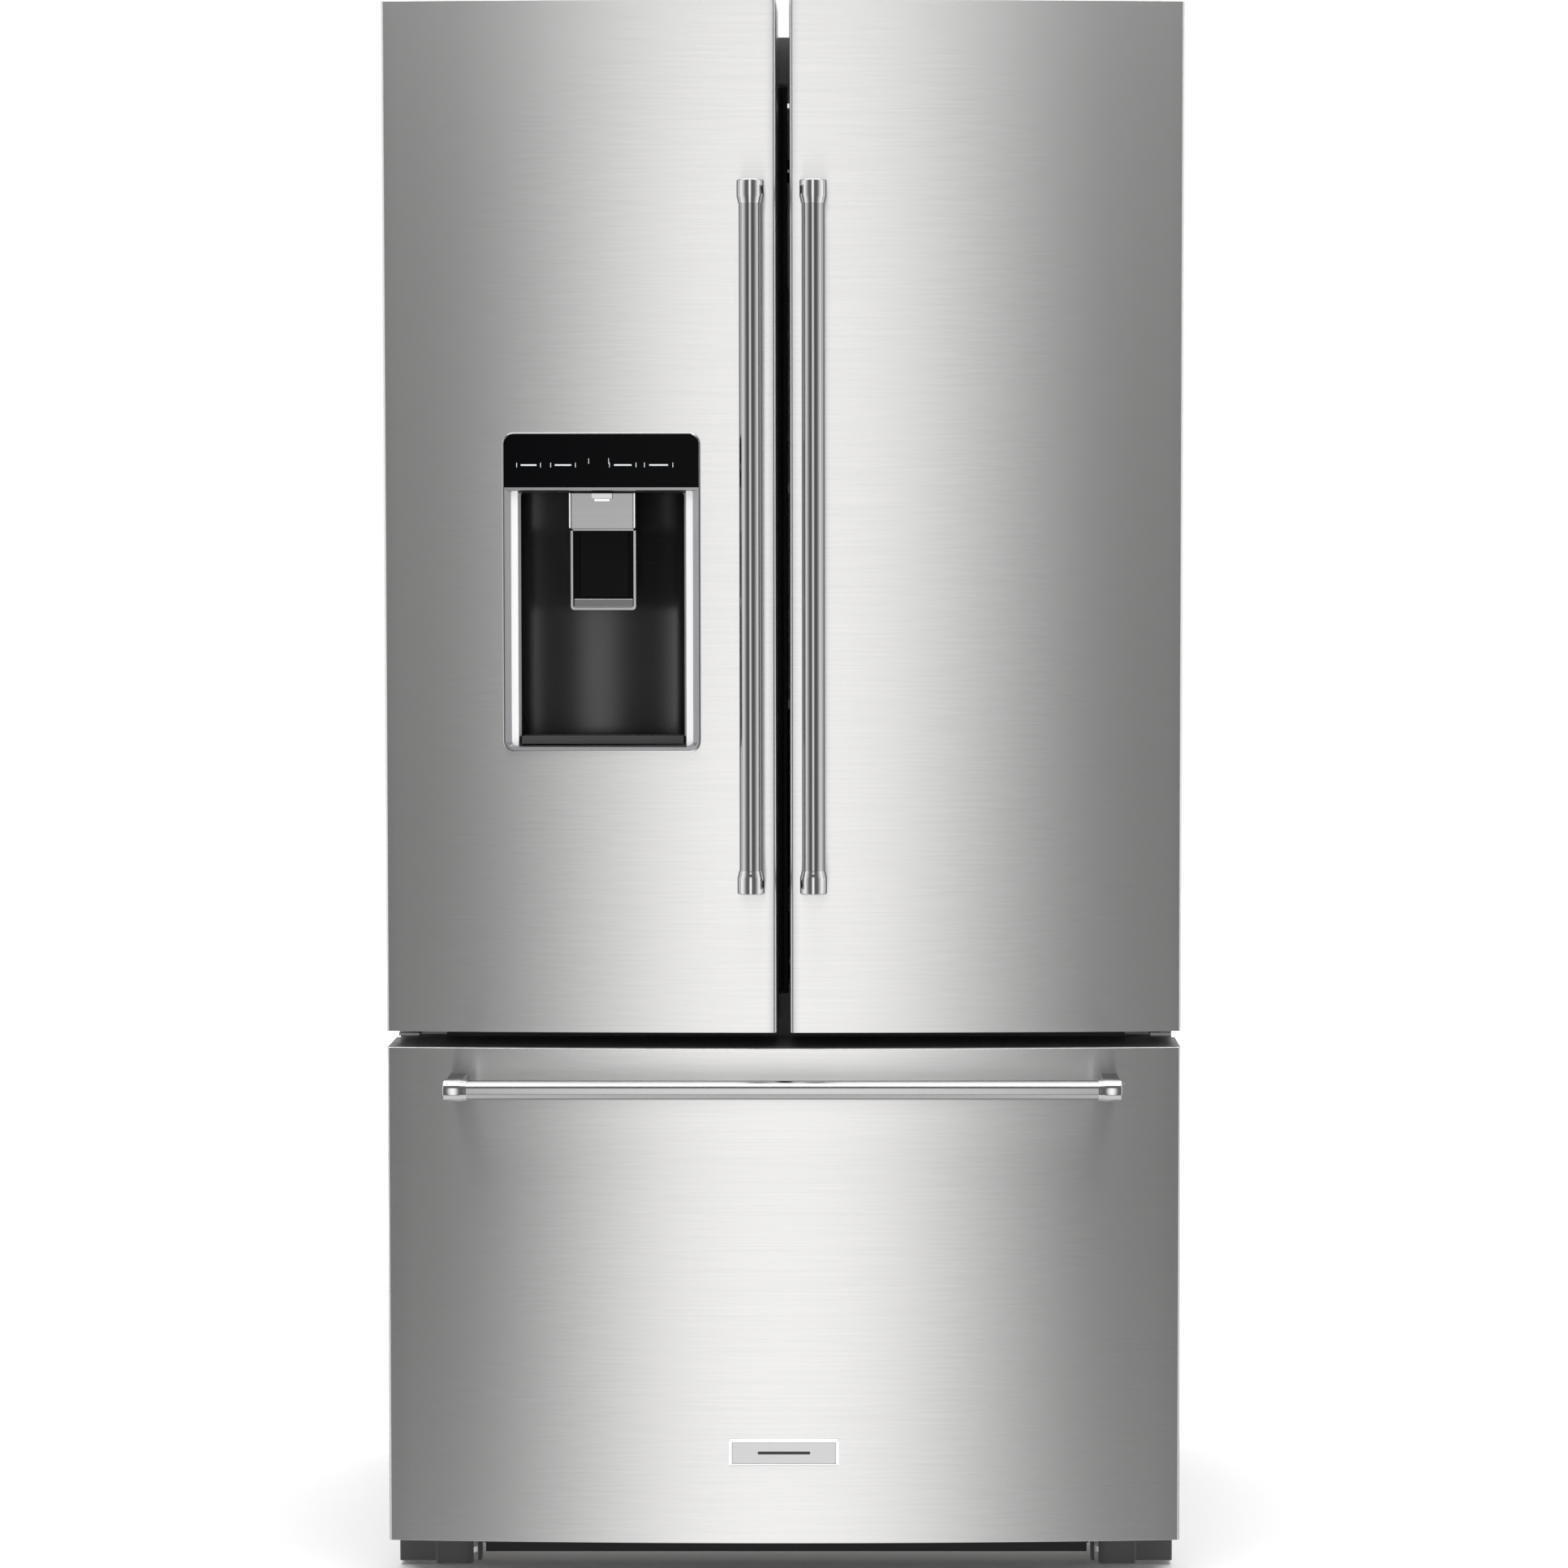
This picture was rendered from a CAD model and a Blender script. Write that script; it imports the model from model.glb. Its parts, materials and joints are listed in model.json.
"""French door refrigerator: detailed pieces, materials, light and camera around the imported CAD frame."""

import json
import math
import bmesh
import bpy
from mathutils import Matrix, Vector

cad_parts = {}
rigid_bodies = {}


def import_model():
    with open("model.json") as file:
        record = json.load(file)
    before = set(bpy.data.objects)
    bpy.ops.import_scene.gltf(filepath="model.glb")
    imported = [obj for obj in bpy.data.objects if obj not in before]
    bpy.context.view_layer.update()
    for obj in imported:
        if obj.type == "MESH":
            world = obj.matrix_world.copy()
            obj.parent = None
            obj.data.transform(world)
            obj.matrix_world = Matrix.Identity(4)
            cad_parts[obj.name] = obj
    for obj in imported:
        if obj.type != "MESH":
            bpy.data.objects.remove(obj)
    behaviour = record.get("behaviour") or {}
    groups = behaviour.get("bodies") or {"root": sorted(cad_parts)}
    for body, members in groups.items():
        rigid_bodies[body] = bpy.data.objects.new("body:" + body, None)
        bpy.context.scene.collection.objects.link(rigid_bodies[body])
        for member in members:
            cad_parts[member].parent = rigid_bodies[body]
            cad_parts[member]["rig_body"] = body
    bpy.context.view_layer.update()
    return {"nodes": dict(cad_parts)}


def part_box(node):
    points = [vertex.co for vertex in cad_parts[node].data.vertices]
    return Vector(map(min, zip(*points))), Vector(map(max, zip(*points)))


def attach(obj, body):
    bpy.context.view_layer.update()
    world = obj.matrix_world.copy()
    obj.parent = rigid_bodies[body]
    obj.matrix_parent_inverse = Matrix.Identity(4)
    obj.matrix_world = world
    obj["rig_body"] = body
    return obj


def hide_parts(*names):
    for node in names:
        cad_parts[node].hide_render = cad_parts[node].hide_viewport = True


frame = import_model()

NODES = frame["nodes"]
SCENE = bpy.context.scene

# Sizes shared with the CAD, in metres
HALF = 0.4525
CROWN = -0.334
BOW = 0.015
DOOR_BACK = -0.23
DOOR_Z = (0.635, 1.8)
DRAWER_Z = (0.049, 0.617)
HINGE = (0.4325, -0.262)
SHEET = 0.002
CABINET_TOP = 1.773
OPENING_X = (-0.2975, -0.112)
OPENING_Z = (0.9626, 1.2476)
DISPENSER_X = (-0.317, -0.093)
DISPENSER_Z = (0.954, 1.315)
PANEL_LOW = 1.2534
SIDES = ((-1, "left"), (1, "right"))


def bow_y(x):
    """Front surface of doors and drawer at this x."""
    return CROWN + BOW * (x / HALF) ** 2


def span(centre, half):
    return (centre - half, centre + half)


def shrink(pair, amount):
    """A span with both ends moved in by amount, or out where it is negative."""
    return (pair[0] + amount, pair[1] - amount)


def narrow(pair, low, high):
    """A span with its ends moved in by different amounts."""
    return (pair[0] + low, pair[1] - high)


def middle_of(pair):
    return (pair[0] + pair[1]) / 2


def mirrored(pair, side):
    return pair if side > 0 else (-pair[1], -pair[0])


def node_spans(name):
    """The X, Y and Z spans of a CAD node."""
    low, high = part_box(name)
    return tuple(zip(low, high))


# ---------------------------------------------------------------- materials


class Nodes:
    """A small helper that builds one material's node tree."""

    def __init__(self, name):
        self.material = bpy.data.materials.new(name)
        self.material.use_nodes = True
        self.tree = self.material.node_tree
        self.shader = self.tree.nodes["Principled BSDF"]

    def add(self, kind, **settings):
        node = self.tree.nodes.new(kind)
        for key, value in settings.items():
            setattr(node, key, value)
        return node

    def link(self, out, into):
        self.tree.links.new(out, into)

    def set(self, **values):
        names = {
            "color": "Base Color", "metallic": "Metallic", "roughness": "Roughness", "coat": "Coat Weight"
        }
        names |= {"coat_roughness": "Coat Roughness", "ior": "IOR", "transmission": "Transmission Weight"}
        names |= {
            "alpha": "Alpha", "anisotropic": "Anisotropic", "specular": "Specular IOR Level",
            "emission": "Emission Strength",
        }
        for key, value in values.items():
            if key == "color":
                value = (*value, 1.0)
            self.shader.inputs[names[key]].default_value = value

    def noise(self, scale, stretch=(1, 1, 1), detail=3.0, rough=0.5):
        """Noise over object coordinates in metres; scale is per metre, stretched by the three factors."""
        place = self.add("ShaderNodeTexCoord")
        mapping = self.add("ShaderNodeMapping")
        mapping.inputs["Scale"].default_value = [scale * s for s in stretch]
        self.link(place.outputs["Object"], mapping.inputs["Vector"])
        noise = self.add("ShaderNodeTexNoise")
        noise.inputs["Scale"].default_value = 1.0
        noise.inputs["Detail"].default_value = detail
        noise.inputs["Roughness"].default_value = rough
        self.link(mapping.outputs["Vector"], noise.inputs["Vector"])
        return noise.outputs["Fac"]

    def ramp(self, value, low, high):
        """Maps noise (about 0.3 to 0.7) to the span low to high."""
        node = self.add("ShaderNodeMapRange")
        node.inputs["From Min"].default_value = 0.3
        node.inputs["From Max"].default_value = 0.7
        node.inputs["To Min"].default_value = low
        node.inputs["To Max"].default_value = high
        self.link(value, node.inputs["Value"])
        return node.outputs["Result"]

    def shade(self, value, base, amount):
        """Base colour made lighter and darker by amount as the value changes."""
        mix = self.add("ShaderNodeMix", data_type="RGBA")
        mix.inputs["A"].default_value = (*[c * (1 - amount) for c in base], 1)
        mix.inputs["B"].default_value = (*[min(1, c * (1 + amount)) for c in base], 1)
        self.link(self.ramp(value, 0, 1), mix.inputs["Factor"])
        self.link(mix.outputs["Result"], self.shader.inputs["Base Color"])

    def vary_roughness(self, value, low, high):
        self.link(self.ramp(value, low, high), self.shader.inputs["Roughness"])

    def bump(self, value, strength, distance=0.001):
        bump = self.add("ShaderNodeBump")
        bump.inputs["Strength"].default_value = strength
        bump.inputs["Distance"].default_value = distance
        self.link(value, bump.inputs["Height"])
        self.link(bump.outputs["Normal"], self.shader.inputs["Normal"])


def brushed(name, color, roughness, anisotropic=0.8, stretch=(0.012, 1, 1), grain=520.0, bump=0.02):
    """Brushed metal: fine grain stretched along one axis, with the reflection blurred across it."""
    m = Nodes(name)
    m.set(metallic=1.0, anisotropic=anisotropic)
    fine = m.noise(grain, stretch, 2.0, 0.5)
    cloud = m.noise(2.2, (0.4, 1, 0.8), 1.0)
    m.shade(fine, color, 0.022)
    m.vary_roughness(cloud, roughness - 0.005, roughness + 0.005)
    m.bump(fine, bump, 0.0003)
    if anisotropic:
        turn = m.add("ShaderNodeTangent", direction_type="RADIAL", axis="X")
        m.link(turn.outputs["Tangent"], m.shader.inputs["Tangent"])
    return m.material


def polished(name, color, low=0.03, high=0.07):
    m = Nodes(name)
    m.set(metallic=1.0, color=color)
    m.vary_roughness(m.noise(60.0), low, high)
    m.bump(m.noise(900.0), 0.01, 0.0002)
    return m.material


def plastic(name, color, roughness, texture=900.0, bump=0.08, vary=0.04, coat=0.0, specular=0.5):
    m = Nodes(name)
    m.set(coat=coat, coat_roughness=0.1, specular=specular)
    m.shade(m.noise(18.0), color, vary)
    m.vary_roughness(m.noise(12.0, detail=1.0), roughness - 0.02, roughness + 0.02)
    m.bump(m.noise(texture, detail=2.0), bump, 0.0003)
    return m.material


def gloss_black(name, color, roughness):
    m = Nodes(name)
    m.set(color=color, specular=0.04)
    m.vary_roughness(m.noise(25.0), roughness, roughness + 0.03)
    return m.material


def clear(name, tint, roughness, transmission):
    m = Nodes(name)
    m.set(transmission=transmission, ior=1.3)
    m.shade(m.noise(6.0), tint, 0.02)
    m.vary_roughness(m.noise(30.0), roughness, roughness + 0.05)
    return m.material


def glowing(name, color, strength):
    m = Nodes(name)
    m.set(color=color, emission=strength)
    m.shader.inputs["Emission Color"].default_value = (*color, 1)
    m.vary_roughness(m.noise(80.0), 0.35, 0.45)
    return m.material


STEEL_COLOR = (0.66, 0.655, 0.65)
M = {
    "front": brushed("front_steel", STEEL_COLOR, 0.27, 0.95),
    "side_steel": brushed("edge_steel", (0.55, 0.55, 0.55), 0.36, 0.0),
    "end_cap": plastic("end_cap_grey", (0.14, 0.14, 0.145), 0.45, 700.0, 0.05),
    "bar_vertical": brushed(
        "bar_steel_vertical", (0.44, 0.44, 0.44), 0.13, 0.0, stretch=(1, 1, 0.01), bump=0.03
    ),
    "bar_horizontal": brushed(
        "bar_steel_horizontal", (0.47, 0.47, 0.47), 0.18, 0.0, stretch=(0.01, 1, 1), bump=0.03
    ),
    "chrome": polished("chrome", (0.83, 0.83, 0.84)),
    "cap": polished("cap_chrome", (0.6, 0.6, 0.61), 0.03, 0.06),
    "post": brushed("post_metal", (0.16, 0.16, 0.16), 0.32, 0.0),
    "bezel": polished("bezel_satin", (0.42, 0.42, 0.43), 0.32, 0.36),
    "paddle_metal": polished("paddle_metal", (0.34, 0.34, 0.35), 0.16, 0.2),
    "nozzle": brushed("nozzle_steel", (0.48, 0.48, 0.48), 0.34, 0.0),
    "badge": brushed("badge_satin", (0.74, 0.74, 0.74), 0.34, 0.0),
    "badge_mark": plastic("badge_inlay", (0.03, 0.03, 0.032), 0.4),
    "black_glass": gloss_black("panel_glass", (0.0015, 0.0015, 0.002), 0.05),
    "cavity": plastic("cavity_charcoal", (0.008, 0.008, 0.009), 0.26, 700.0, 0.01, specular=0.8),
    "pad": plastic("paddle_pad", (0.0025, 0.0025, 0.003), 0.4, specular=0.08),
    "tray": plastic("tray_plastic", (0.045, 0.045, 0.047), 0.42, specular=0.3),
    "marks": glowing("panel_marks", (0.6, 0.62, 0.64), 0.22),
    "cabinet": plastic("cabinet_paint", (0.105, 0.105, 0.11), 0.48, 420.0, 0.25),
    "white": plastic("liner_white", (0.8, 0.81, 0.82), 0.3, 300.0, 0.02, 0.008),
    "basket": plastic("basket_white", (0.78, 0.79, 0.8), 0.36, 900.0, 0.03, 0.01),
    "black": plastic("black_plastic", (0.01, 0.01, 0.011), 0.45, specular=0.3),
    "foot": plastic("foot_plastic", (0.062, 0.062, 0.064), 0.38),
    "dark_gap": plastic("flap_dark", (0.007, 0.007, 0.008), 0.5, 260.0, 0.35, 0.3, specular=0.15),
    "back_sheet": brushed("back_galvanised", (0.46, 0.47, 0.48), 0.46, 0.0, stretch=(1, 1, 1), grain=90.0),
    "cover_sheet": plastic("cover_enamel", (0.3, 0.3, 0.31), 0.5, 260.0, 0.12),
    "zinc": brushed("zinc_plate", (0.5, 0.5, 0.51), 0.42, 0.0, stretch=(0.3, 1, 1), grain=300.0),
    "black_metal": plastic("black_enamel", (0.015, 0.015, 0.016), 0.25, coat=0.4),
    "foam": plastic("foam", (0.62, 0.5, 0.25), 0.85, 260.0, 0.6, 0.12),
    "aluminium": brushed("fin_aluminium", (0.72, 0.73, 0.75), 0.35, 0.0),
    "shelf_glass": clear("shelf_glass", (0.965, 0.99, 0.98), 0.02, 0.95),
    "bin_clear": clear("bin_clear", (0.975, 0.985, 0.99), 0.05, 0.9),
    "frame_grey": plastic("frame_grey", (0.42, 0.43, 0.44), 0.38),
    "trim_satin": brushed("trim_satin", (0.74, 0.74, 0.75), 0.3, 0.0),
    "pale": plastic("pale_plastic", (0.74, 0.75, 0.76), 0.34, 900.0, 0.03, 0.01),
    "fan_white": plastic("fan_plastic", (0.6, 0.61, 0.62), 0.4),
    "lamp": glowing("lamp_lens", (0.95, 0.97, 1.0), 0.9),
    "brass": brushed("brass_fitting", (0.68, 0.5, 0.22), 0.32, 0.0, stretch=(1, 1, 1), grain=260.0),
    "screw": brushed("screw_head", (0.62, 0.62, 0.63), 0.3, 0.0, stretch=(1, 1, 1), grain=500.0),
    "seal": plastic("seal_rubber", (0.075, 0.075, 0.078), 0.62, 1400.0, 0.05, specular=0.2),
    "copper": brushed("copper_tube", (0.72, 0.36, 0.2), 0.3, 0.0),
}


# ---------------------------------------------------------------- mesh helpers


def add_object(name, bm, material=None, smooth=True, angle=35):
    bmesh.ops.recalc_face_normals(bm, faces=bm.faces)
    mesh = bpy.data.meshes.new(name)
    bm.to_mesh(mesh)
    bm.free()
    obj = bpy.data.objects.new(name, mesh)
    SCENE.collection.objects.link(obj)
    if smooth:
        mesh.shade_smooth()
        mesh.set_sharp_from_angle(angle=math.radians(angle))
    if material:
        mesh.materials.append(M[material])
    return obj


def add_box(bm, x, y, z):
    verts = bmesh.ops.create_cube(bm, size=1.0)["verts"]
    bmesh.ops.scale(bm, verts=verts, vec=(x[1] - x[0], y[1] - y[0], z[1] - z[0]))
    centre = (middle_of(x), middle_of(y), middle_of(z))
    bmesh.ops.translate(bm, verts=verts, vec=centre)


def boxes(name, sizes, material=None):
    bm = bmesh.new()
    for x, y, z in sizes:
        add_box(bm, x, y, z)
    return add_object(name, bm, material)


def box(name, x, y, z, material=None):
    return boxes(name, [(x, y, z)], material)


def add_rod(bm, start, end, radius, segments=32):
    start = Vector(start)
    axis = Vector(end) - start
    turn = Vector((0, 0, 1)).rotation_difference(axis).to_matrix().to_4x4()
    middle = Matrix.Translation(start + axis / 2) @ turn
    return bmesh.ops.create_cone(
        bm, cap_ends=True, segments=segments, radius1=radius, radius2=radius, depth=axis.length, matrix=middle
    )["verts"]


def rod(name, start, end, radius, material=None, segments=32):
    bm = bmesh.new()
    add_rod(bm, start, end, radius, segments)
    return add_object(name, bm, material)


def prism(name, outline, z, material=None, angle=35):
    bm = bmesh.new()
    face = bm.faces.new([bm.verts.new((x, y, z[0])) for x, y in outline])
    made = bmesh.ops.extrude_face_region(bm, geom=[face])
    top = [v for v in made["geom"] if isinstance(v, bmesh.types.BMVert)]
    bmesh.ops.translate(bm, verts=top, vec=(0, 0, z[1] - z[0]))
    return add_object(name, bm, material, angle=angle)


def turned(name, profile, place, axis, material, steps=64):
    """A solid of revolution; the profile is (radius, height) along the axis from place."""
    bm = bmesh.new()
    verts = [bm.verts.new((r, 0, h)) for r, h in profile]
    edges = [bm.edges.new(pair) for pair in zip(verts, verts[1:])]
    bmesh.ops.spin(bm, geom=verts + edges, cent=(0, 0, 0), axis=(0, 0, 1), angle=2 * math.pi, steps=steps)
    bmesh.ops.remove_doubles(bm, verts=bm.verts, dist=0.00001)
    turn = Vector((0, 0, 1)).rotation_difference(Vector(axis)).to_matrix().to_4x4()
    bmesh.ops.transform(bm, matrix=Matrix.Translation(place) @ turn, verts=bm.verts)
    return add_object(name, bm, material)


def bow_outline(x, offset, back, radius=0.0, steps=40):
    """Outline whose front follows the bow, moved back by offset, with rounded front corners."""
    left, right = x
    points = [(right, back), (left, back)]
    corner = 6 if radius else 0
    for i in range(corner):
        angle = math.pi / 2 * i / corner
        y = bow_y(left + radius) + offset + radius
        points.append((left + radius - radius * math.cos(angle), y - radius * math.sin(angle)))
    for i in range(steps + 1):
        px = left + radius + (right - left - 2 * radius) * i / steps
        points.append((px, bow_y(px) + offset))
    for i in range(corner):
        angle = math.pi / 2 * (i + 1) / corner
        y = bow_y(right - radius) + offset + radius
        points.append((right - radius + radius * math.sin(angle), y - radius * math.cos(angle)))
    return points


def soften(obj, width, segments=3, angle=40):
    bevel = obj.modifiers.new("Soften", "BEVEL")
    bevel.width = width
    bevel.segments = segments
    bevel.limit_method = "ANGLE"
    bevel.angle_limit = math.radians(angle)
    bevel.harden_normals = True
    return obj


def cut(target, *others):
    """Cut the others out of target and remove them."""
    for other in others:
        step = target.modifiers.new("Step", "BOOLEAN")
        step.operation = "DIFFERENCE"
        step.solver = "EXACT"
        step.object = other
    bake(target)
    for other in others:
        bpy.data.objects.remove(other)
    return target


def bake(obj):
    """Replace an object's mesh by the result of its modifiers."""
    graph = bpy.context.evaluated_depsgraph_get()
    mesh = bpy.data.meshes.new_from_object(obj.evaluated_get(graph))
    obj.modifiers.clear()
    obj.data = mesh
    mesh.shade_smooth()
    mesh.set_sharp_from_angle(angle=math.radians(35))
    return obj


def rounded_loop(x, z, radius, corner=8, corners=(1, 1, 1, 1)):
    """Points of a rounded rectangle in X and Z; corners scales each radius from the low-left one on."""
    points = []
    centres = [(x[0], z[0], 180), (x[1], z[0], 270), (x[1], z[1], 0), (x[0], z[1], 90)]
    for (px, pz, start), share in zip(centres, corners):
        r = max(radius * share, 0.0002)
        cx = px + r if px == x[0] else px - r
        cz = pz + r if pz == z[0] else pz - r
        for i in range(corner + 1):
            a = math.radians(start + 90 * i / corner)
            points.append((cx + r * math.cos(a), cz + r * math.sin(a)))
    return points


def bridge(bm, rows):
    """Faces between neighbouring closed rows of vertices."""
    for a, b in zip(rows, rows[1:]):
        for i in range(len(a)):
            j = (i + 1) % len(a)
            bm.faces.new((a[i], a[j], b[j], b[i]))


def lofted_ring(name, loops, material):
    """A closed band through loops of (points, depth off the bow)."""
    bm = bmesh.new()
    rows = []
    for points, depth in loops:
        rows.append([bm.verts.new((x, bow_y(x) + depth, z)) for x, z in points])
    bridge(bm, rows + rows[:1])
    return add_object(name, bm, material, angle=28)


def plate(name, points, depths, material):
    """A flat plate that follows the bow between two depths, from an outline in X and Z."""
    bm = bmesh.new()
    rings = []
    for depth in depths:
        rings.append([bm.verts.new((x, bow_y(x) + depth, z)) for x, z in points])
    bm.faces.new(rings[0])
    bm.faces.new(list(reversed(rings[1])))
    bridge(bm, rings)
    return add_object(name, bm, material)


def ride(body, *objs, slot=None, replaces=()):
    for obj in objs:
        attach(obj, body)
    if replaces:
        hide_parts(*replaces)


def repaint(material, *names):
    for name in names:
        mesh = NODES[name].data
        mesh.materials.clear()
        mesh.materials.append(M[material])


def softened(name, width, material, slot=None, segments=2, piece=None):
    """A bevelled stand-in for a CAD node, on that node's own body."""
    node = NODES[name]
    bm = bmesh.new()
    bm.from_mesh(node.data)
    bmesh.ops.remove_doubles(bm, verts=bm.verts, dist=0.000005)
    bmesh.ops.dissolve_limit(bm, angle_limit=math.radians(0.6), verts=bm.verts, edges=bm.edges)
    obj = add_object(piece or name + "_piece", bm, material)
    if width:
        soften(obj, width, segments, 30)
    ride(node["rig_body"], obj, slot=slot, replaces=[name])
    return obj


def tube(name, points, radius, material, segments=16, smooth=4):
    """A round tube along a path with rounded turns."""
    curve = bpy.data.curves.new(name, "CURVE")
    curve.dimensions = "3D"
    curve.bevel_depth = radius
    curve.bevel_resolution = segments // 4
    curve.use_fill_caps = True
    line = curve.splines.new("NURBS")
    line.points.add(len(points) - 1)
    for point, place in zip(line.points, points):
        point.co = (*place, 1)
    line.use_endpoint_u = True
    line.order_u = 3
    line.resolution_u = smooth
    source = bpy.data.objects.new(name, curve)
    SCENE.collection.objects.link(source)
    graph = bpy.context.evaluated_depsgraph_get()
    mesh = bpy.data.meshes.new_from_object(source.evaluated_get(graph))
    bpy.data.objects.remove(source)
    bm = bmesh.new()
    bm.from_mesh(mesh)
    bpy.data.meshes.remove(mesh)
    bmesh.ops.remove_doubles(bm, verts=bm.verts, dist=0.000005)
    return add_object(name, bm, material)


def wire_frame(name, lines, radius, material, segments=10):
    """Straight round wires, each given by its two ends."""
    bm = bmesh.new()
    for start, end in lines:
        add_rod(bm, start, end, radius, segments)
    return add_object(name, bm, material)


def screws(name, places, axis, radius=0.0042, height=0.0016, material="screw"):
    """Pan-head screws with a crossed slot; places are points on the panel's face."""
    bm = bmesh.new()
    axis = Vector(axis)
    turn = Vector((0, 0, 1)).rotation_difference(axis).to_matrix().to_4x4()
    profile = [
        (0, height), (radius * 0.45, height * 0.96), (radius * 0.85, height * 0.62), (radius, 0), (0, 0)
    ]
    for place in places:
        verts = [bm.verts.new((r, 0, h)) for r, h in profile]
        edges = [bm.edges.new(pair) for pair in zip(verts, verts[1:])]
        made = bmesh.ops.spin(
            bm, geom=verts + edges, cent=(0, 0, 0), axis=(0, 0, 1), angle=2 * math.pi, steps=20
        )
        every = verts + [v for v in bm.verts if v not in verts and not v.tag]
        bmesh.ops.transform(bm, matrix=Matrix.Translation(place) @ turn, verts=list(set(every)))
        for vert in bm.verts:
            vert.tag = True
    bmesh.ops.remove_doubles(bm, verts=bm.verts, dist=0.00001)
    return add_object(name, bm, material)


def rounded_prism(name, x, y, z, radius, material=None, corner=5):
    """An upright box with rounded vertical edges."""
    return prism(name, rounded_loop(x, y, radius, corner), z, material)


# ---------------------------------------------------------------- fronts


def hinge_notch(side):
    x = mirrored((HINGE[0] - 0.019, HALF + 0.02), side)
    return box("notch", x, (HINGE[1] - 0.028, DOOR_BACK + 0.02), (CABINET_TOP - 0.005, DOOR_Z[1] + 0.02))


def pin_hole(side):
    x = side * HINGE[0]
    return rod("pin_hole", (x, HINGE[1], DOOR_Z[0] - 0.02), (x, HINGE[1], DOOR_Z[0] + 0.02), 0.0046)


def front_shell(name, x, z, cutters):
    shell = prism(name, bow_outline(x, 0, DOOR_BACK - SHEET, 0.0038), z, "front")
    inner_x = shrink(x, SHEET)
    inner_z = shrink(z, SHEET)
    inside = prism(name + "_inside", bow_outline(inner_x, SHEET, DOOR_BACK + 0.02, 0.002), inner_z)
    cut(shell, inside, *cutters)
    shell.data.materials.append(M["side_steel"])
    shell.data.materials.append(M["end_cap"])
    for polygon in shell.data.polygons:
        if abs(polygon.normal.z) > 0.9:
            polygon.material_index = 2
        elif abs(polygon.normal.y) < 0.45:
            polygon.material_index = 1
    return soften(shell, 0.0013)


def build_door(side, word):
    x = mirrored((0.0075, HALF), side)
    cutters = [hinge_notch(side), pin_hole(side)]
    if side < 0:
        cutters.append(
            box("window", shrink(DISPENSER_X, 0.0045), (-0.36, -0.29), (DISPENSER_Z[0] + 0.0045, PANEL_LOW))
        )
    ride(
        f"door_{word}", front_shell(f"{word}_door_shell", x, DOOR_Z, cutters), slot="stainless_front",
        replaces=[f"door_{word}_skin"],
    )
    build_handle(f"door_{word}", side * 0.035, word)


def cap_profile(radius, bar):
    """End cap from its outer face to where it meets the bar."""
    edge = 0.0012
    profile = [(0, 0), (radius - 2 * edge, 0)]
    for i in range(5):
        a = math.pi / 2 * i / 4
        profile.append((radius - edge + edge * math.sin(a), edge - edge * math.cos(a)))
    profile += [
        (radius, 0.0185), (radius - 0.0006, 0.02), (bar + 0.0008, 0.025), (bar + 0.0004, 0.0262), (0, 0.0262)
    ]
    return profile


def build_handle(body, x, word):
    radius, bar = 0.01515, 0.0127
    low, high = 0.798, 1.594
    y = -0.395 + radius
    ride(
        body, rod(f"{word}_handle_bar", (x, y, low + 0.01), (x, y, high - 0.01), bar, "bar_vertical", 64),
        slot="handle_steel", replaces=[f"{body}_handle"],
    )
    for end, direction, place in (("lower", 1, low), ("upper", -1, high)):
        ride(
            body,
            turned(
                f"{word}_handle_cap_{end}", cap_profile(radius, bar), (x, y, place), (0, 0, direction), "cap"
            ),
            slot="handle_steel",
        )
        z = (place, place + 0.019) if direction > 0 else (place - 0.019, place)
        inset = shrink(z, 0.0006)
        ride(
            body,
            soften(
                box(
                    f"{word}_handle_post_{end}", span(x, 0.0105),
                    (y + 0.004, bow_y(abs(x) + 0.0105) - 0.0001), inset, "post",
                ),
                0.0015,
            ),
            slot="handle_steel",
        )


def build_drawer_front():
    ride(
        "freezer_drawer", front_shell("drawer_shell", (-HALF, HALF), DRAWER_Z, []), slot="stainless_front",
        replaces=["drawer_front"],
    )
    radius, bar = 0.0126, 0.011
    y, z, half = -0.395 + radius, 0.577, 0.3805
    ride(
        "freezer_drawer",
        rod("drawer_handle_bar", (-half + 0.01, y, z), (half - 0.01, y, z), bar, "bar_horizontal", 64),
        slot="handle_steel", replaces=["drawer_handle"],
    )
    for side, word in SIDES:
        cap = turned(
            f"drawer_handle_cap_{word}", cap_profile(radius, bar), (side * half, y, z), (-side, 0, 0), "cap"
        )
        x = mirrored((half - 0.0205, half - 0.001), side)
        post = soften(
            box(
                f"drawer_handle_post_{word}", x, (y + 0.003, bow_y(half) + 0.0003), (z - 0.01, z + 0.0105),
                "post",
            ),
            0.0012,
        )
        ride("freezer_drawer", cap, post, slot="handle_steel")
    build_badge()


def build_badge():
    """A blank plate with sloping chrome edges and a plain inlaid bar."""
    x, z = span(0, 0.0625), (0.1385, 0.1695)

    def loop(inset):
        return rounded_loop(shrink(x, inset), shrink(z, inset), 0.0008, 2)

    rim = lofted_ring(
        "badge_rim",
        [
            (loop(0), 0.0002), (loop(0), -0.001), (loop(0.0022), -0.003), (loop(0.003), -0.003),
            (loop(0.0034), -0.0018), (loop(0.0034), 0.0002),
        ],
        "chrome",
    )
    face = plate("badge_face", loop(0.0035), (-0.0021, 0.0002), "badge")
    inlay = plate(
        "badge_inlay", rounded_loop(span(0, 0.03), span(0.154, 0.0016), 0.0014, 4), (-0.0024, -0.002),
        "badge_mark",
    )
    ride("freezer_drawer", rim, face, inlay)


# ---------------------------------------------------------------- dispenser


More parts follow.
